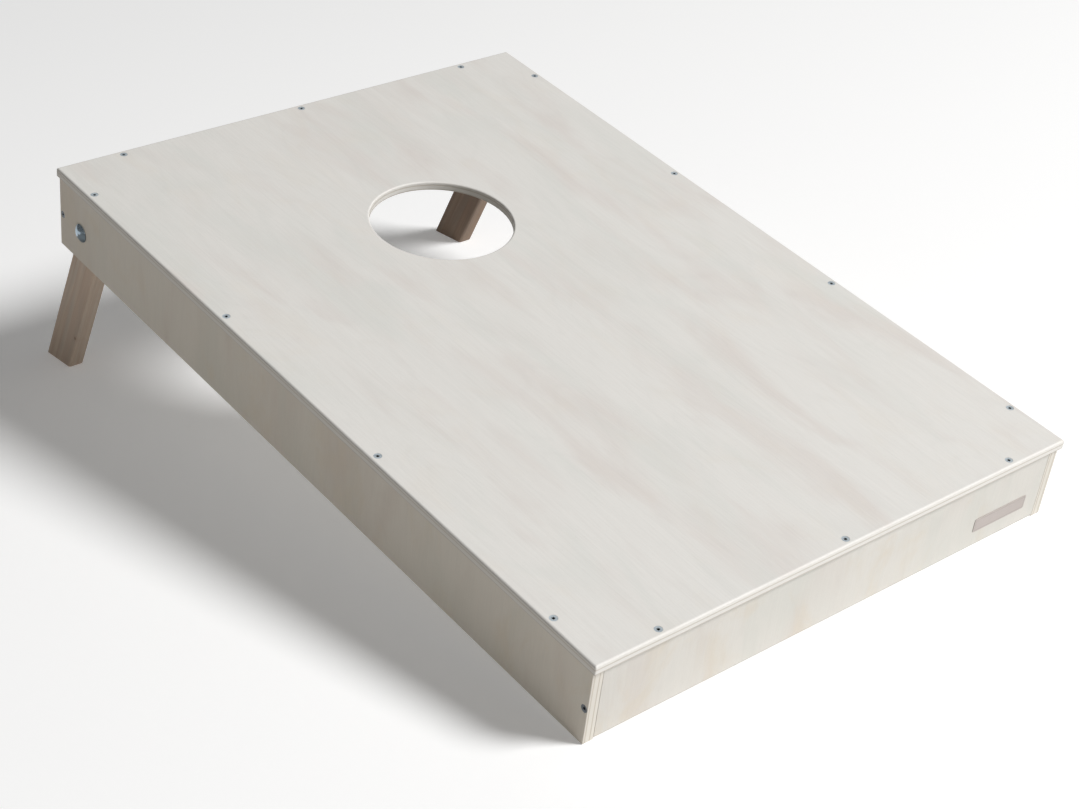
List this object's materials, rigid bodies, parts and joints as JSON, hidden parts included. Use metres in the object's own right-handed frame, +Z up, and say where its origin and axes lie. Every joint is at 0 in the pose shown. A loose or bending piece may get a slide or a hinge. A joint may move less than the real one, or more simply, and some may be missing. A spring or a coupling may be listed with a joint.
{
  "type": "cornhole board",
  "caption": "Sloped plywood bean-bag target board with a round bag hole, a rail frame and two legs that fold flat under the deck.",
  "frame": {"origin": "on the ground, under the centre of the overall box of the standing board", "axes": "+Z up, +Y from the low front edge towards the high back edge, +X to the right as seen from the front"},
  "size_m": [0.6056, 1.001, 0.2648],
  "materials": {
    "birch_plywood": "fine-sanded pale birch plywood with a light whitish wash, thin plies showing on its edges",
    "leg_timber": "planed softwood, natural, weathered grey-brown",
    "zinc_steel": "bright zinc plated, semi-gloss",
    "nylon": "natural nylon",
    "plate": "matt grey-beige, blank"
  },
  "bodies": {
    "root": {"deck": "birch_plywood", "front_rail": "birch_plywood", "back_rail": "birch_plywood", "side_rail_left": "birch_plywood", "side_rail_right": "birch_plywood", "leg_bolt_left": "zinc_steel", "leg_spacer_left": "zinc_steel", "leg_washer_left": "zinc_steel", "lock_nut_left": "zinc_steel", "corner_screws_left": "zinc_steel", "nut_insert_left": "nylon", "leg_bolt_right": "zinc_steel", "leg_spacer_right": "zinc_steel", "leg_washer_right": "zinc_steel", "lock_nut_right": "zinc_steel", "corner_screws_right": "zinc_steel", "nut_insert_right": "nylon", "deck_screws_front": "zinc_steel", "deck_screws_back": "zinc_steel", "deck_screws_left": "zinc_steel", "deck_screws_right": "zinc_steel", "name_plate": "plate"},
    "leg_left": {"leg_left": "leg_timber"},
    "leg_right": {"leg_right": "leg_timber"}
  },
  "joints": [
    {"name": "leg_left_fold", "type": "hinge", "parent": "root", "child": "leg_left", "pos_m": [-0.2758, 0.34666, 0.20116], "axis": [-1, 0, 0], "range_deg": [0, 117]},
    {"name": "leg_right_fold", "type": "hinge", "parent": "root", "child": "leg_right", "pos_m": [0.2758, 0.34666, 0.20116], "axis": [-1, 0, 0], "range_deg": [0, 117]}
  ]
}
